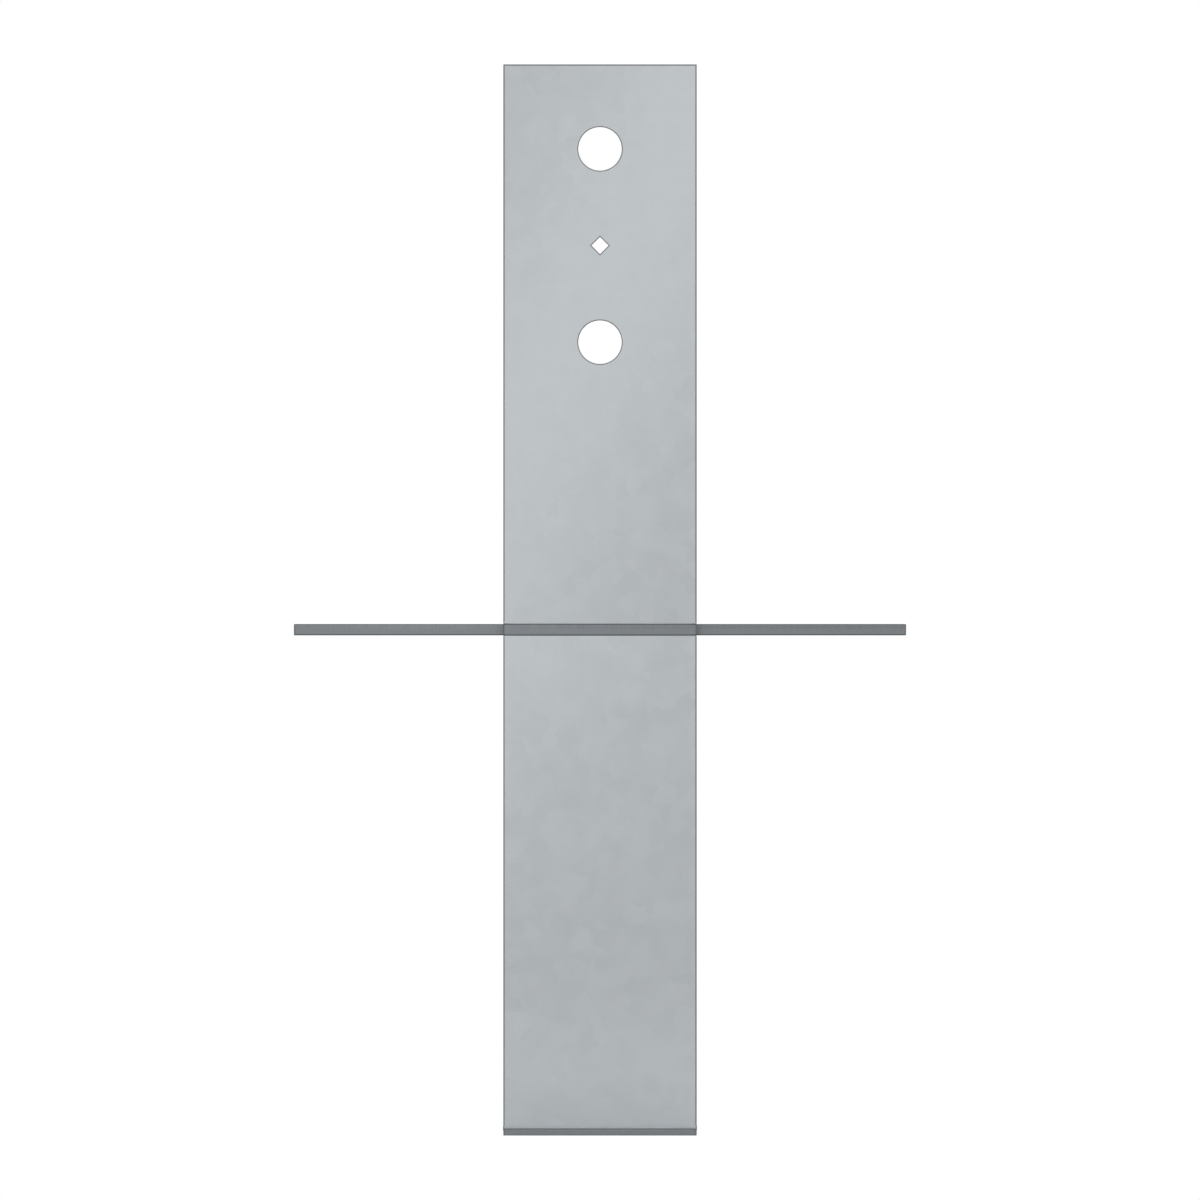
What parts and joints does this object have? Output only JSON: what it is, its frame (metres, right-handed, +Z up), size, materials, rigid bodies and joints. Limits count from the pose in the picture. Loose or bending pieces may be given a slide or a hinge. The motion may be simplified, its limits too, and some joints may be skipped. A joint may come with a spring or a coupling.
{
  "type": "column base",
  "caption": "Welded galvanised column base: a bearing plate between punched upright straps that bolt to a timber column, and lower straps with bent feet for casting into concrete.",
  "frame": {"origin": "on the ground under the middle of the seat, midway between the soles of the feet", "axes": "+Z up, towards the column; +X along the plate; the front straps face -Y and the rear straps +Y"},
  "size_m": [0.2414, 0.2088, 0.4222],
  "materials": {
    "galvanised_strip": "dull zinc coating, sheared edges darker",
    "galvanised_plate": "dull zinc coating, sheared edges darker",
    "weld_metal": "rippled weld bead, dull grey"
  },
  "bodies": {
    "root": {"base_plate": "galvanised_plate", "front_upper_strap": "galvanised_strip", "rear_upper_strap": "galvanised_strip", "front_lower_strap": "galvanised_strip", "rear_lower_strap": "galvanised_strip", "front_upper_weld": "weld_metal", "rear_upper_weld": "weld_metal", "front_lower_weld": "weld_metal", "rear_lower_weld": "weld_metal"}
  },
  "joints": []
}
